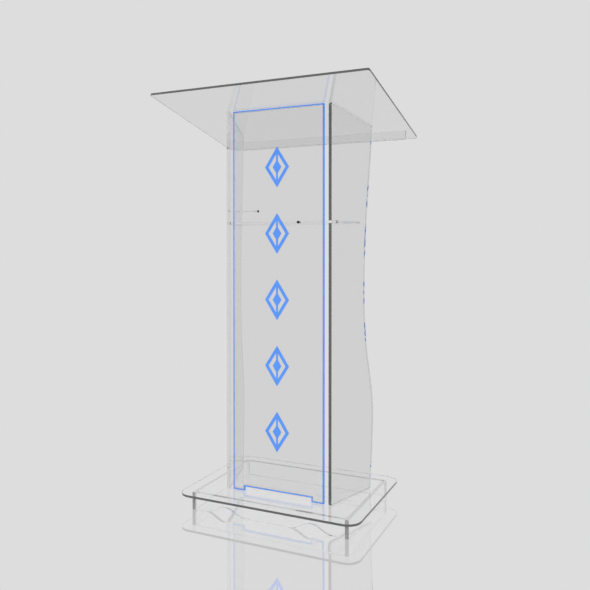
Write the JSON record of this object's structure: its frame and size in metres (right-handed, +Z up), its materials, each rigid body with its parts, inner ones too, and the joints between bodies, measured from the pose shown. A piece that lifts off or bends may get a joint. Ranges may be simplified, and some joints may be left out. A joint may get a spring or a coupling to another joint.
{
  "type": "presentation lectern",
  "caption": "Clear acrylic lectern: sloping desk with book stop, blue-edged front panel with blue ornaments, splayed wavy side panels, shelf, and a base plate on four boards, the front one arched",
  "frame": {"origin": "on the floor, under the middle of the whole lectern's outline", "axes": "+Z up, +Y towards the speaker, -Y towards the audience, +X to the right as the audience sees it"},
  "size_m": [0.623, 0.4494, 1.1478],
  "materials": {
    "clear_acrylic": "clear cast acrylic sheet, polished faces and edges",
    "blue_acrylic": "bright blue acrylic, polished",
    "dark_steel": "dark plated steel",
    "dark_rubber": "matt black rubber cap"
  },
  "bodies": {
    "root": {"desk_top": "clear_acrylic", "book_stop": "clear_acrylic", "front_panel": "clear_acrylic", "side_panel_left": "clear_acrylic", "side_panel_right": "clear_acrylic", "shelf": "clear_acrylic", "base_plate": "clear_acrylic", "base_skirt_front": "clear_acrylic", "base_skirt_rear": "clear_acrylic", "base_skirt_left": "clear_acrylic", "base_skirt_right": "clear_acrylic", "cable_peg": "clear_acrylic", "edging_left": "blue_acrylic", "edging_right": "blue_acrylic", "edging_top": "blue_acrylic", "edging_bottom": "blue_acrylic", "front_ornament_1": "blue_acrylic", "front_ornament_2": "blue_acrylic", "front_ornament_3": "blue_acrylic", "front_ornament_4": "blue_acrylic", "front_ornament_5": "blue_acrylic", "shelf_screw": "dark_steel", "cable_peg_cap": "dark_rubber"}
  },
  "joints": []
}
